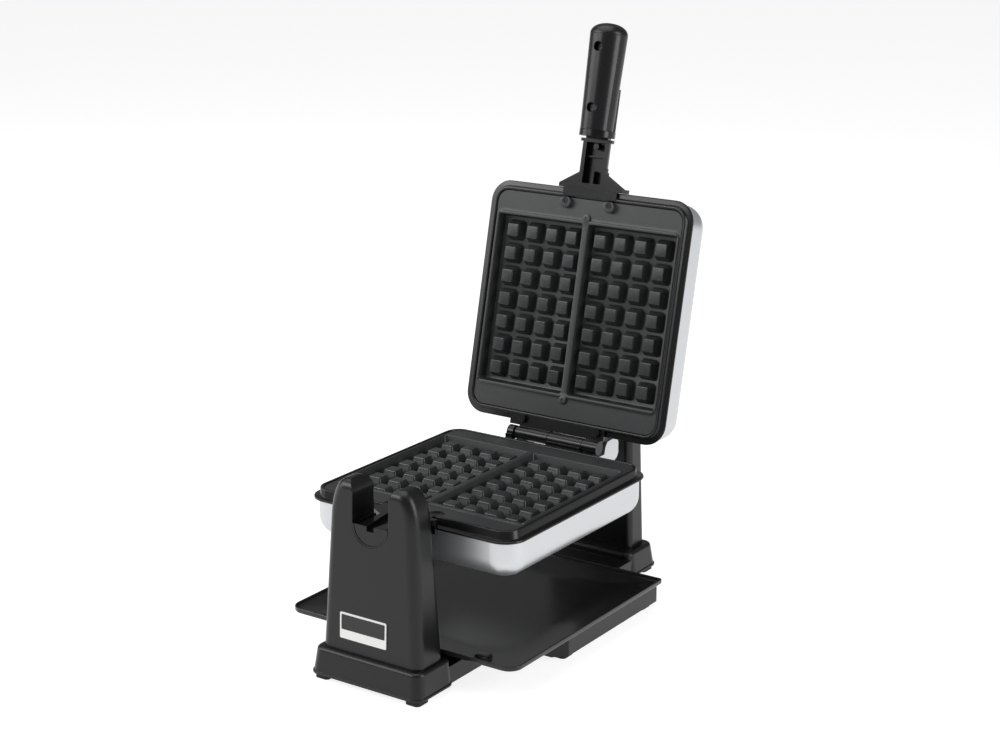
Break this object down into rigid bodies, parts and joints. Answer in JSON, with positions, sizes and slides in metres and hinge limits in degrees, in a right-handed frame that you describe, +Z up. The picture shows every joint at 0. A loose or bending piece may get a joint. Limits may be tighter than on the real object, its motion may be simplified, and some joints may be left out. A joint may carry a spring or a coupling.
{
  "type": "waffle maker",
  "caption": "Turn-over waffle iron on a two-tower stand with a drip tray, shown with its lid swung up and its long handle in the air.",
  "frame": {"origin": "on the table under the middle of the whole object, lid open", "axes": "+X to the user's right, +Y to the back (towards the hinge), +Z up"},
  "size_m": [0.2646, 0.4378, 0.5743],
  "materials": {
    "stand_plastic": "satin moulded black",
    "cover_plastic": "matt black",
    "rubber": "matt",
    "screw_steel": "zinc plated",
    "liner_plastic": "low-friction nylon",
    "badge_metal": "satin",
    "badge_gloss": "gloss",
    "bush_bronze": "sintered",
    "ceramic": "glazed ceramic",
    "tray_enamel": "gloss black enamel",
    "rim_plastic": "satin heat-resistant black",
    "nonstick": "dark non-stick coating on cast aluminium",
    "element_steel": "heat-tinted steel sheath",
    "reflector_metal": "bright rolled",
    "shell_silver": "fine satin silver",
    "fuse_metal": "bright",
    "cast_black": "satin black paint",
    "steel": "ground",
    "grip_gloss": "gloss black",
    "grip_satin": "satin black"
  },
  "bodies": {
    "stand": {"base_frame": "stand_plastic", "bottom_cover": "cover_plastic", "rubber_feet": "rubber", "cover_screws": "screw_steel", "column_screws": "screw_steel", "front_column": "stand_plastic", "front_liner": "liner_plastic", "badge_plate": "badge_metal", "badge_panel": "badge_gloss", "rear_column": "stand_plastic", "rear_cover": "cover_plastic", "rear_cover_screws": "screw_steel", "cord_gland": "rubber", "rear_bearing": "bush_bronze", "terminal_block": "ceramic"},
    "tray": {"drip_tray": "tray_enamel"},
    "lower_half": {"lower_frame": "rim_plastic", "lower_plate": "nonstick", "lower_plate_screws": "screw_steel", "lower_heater": "element_steel", "lower_reflector": "reflector_metal", "lower_shell": "shell_silver", "thermostat": "ceramic", "lower_journal": "cast_black", "hinge_base": "cast_black", "hinge_pin": "steel", "rear_yoke": "shell_silver", "rear_axle": "steel", "axle_clip": "steel"},
    "lid": {"upper_frame": "rim_plastic", "upper_plate": "nonstick", "upper_plate_screws": "screw_steel", "upper_heater": "element_steel", "upper_reflector": "reflector_metal", "upper_shell": "shell_silver", "thermal_fuse": "fuse_metal", "hinge_leaf": "cast_black", "lid_screws": "screw_steel", "handle_neck": "cast_black", "grip_front": "grip_gloss", "grip_back": "grip_satin", "grip_screws": "screw_steel"},
    "latch": {"latch_slider": "grip_satin"}
  },
  "joints": [
    {"name": "rotor_flip", "type": "hinge", "parent": "stand", "child": "lower_half", "pos_m": [0, 0, 0.158], "axis": [0, 1, 0], "range_deg": [0, 90]},
    {"name": "lid_hinge", "type": "hinge", "parent": "lower_half", "child": "lid", "pos_m": [0, 0.10708, 0.158], "axis": [1, 0, 0], "range_deg": [0, 103.3]},
    {"name": "drip_tray_slide", "type": "slide", "parent": "stand", "child": "tray", "axis": [1, 0, 0], "range_m": [0, 0.2]},
    {"name": "latch_slide", "type": "slide", "parent": "lid", "child": "latch", "axis": [0, 0.23, 0.9732], "range_m": [0, 0.007]}
  ]
}
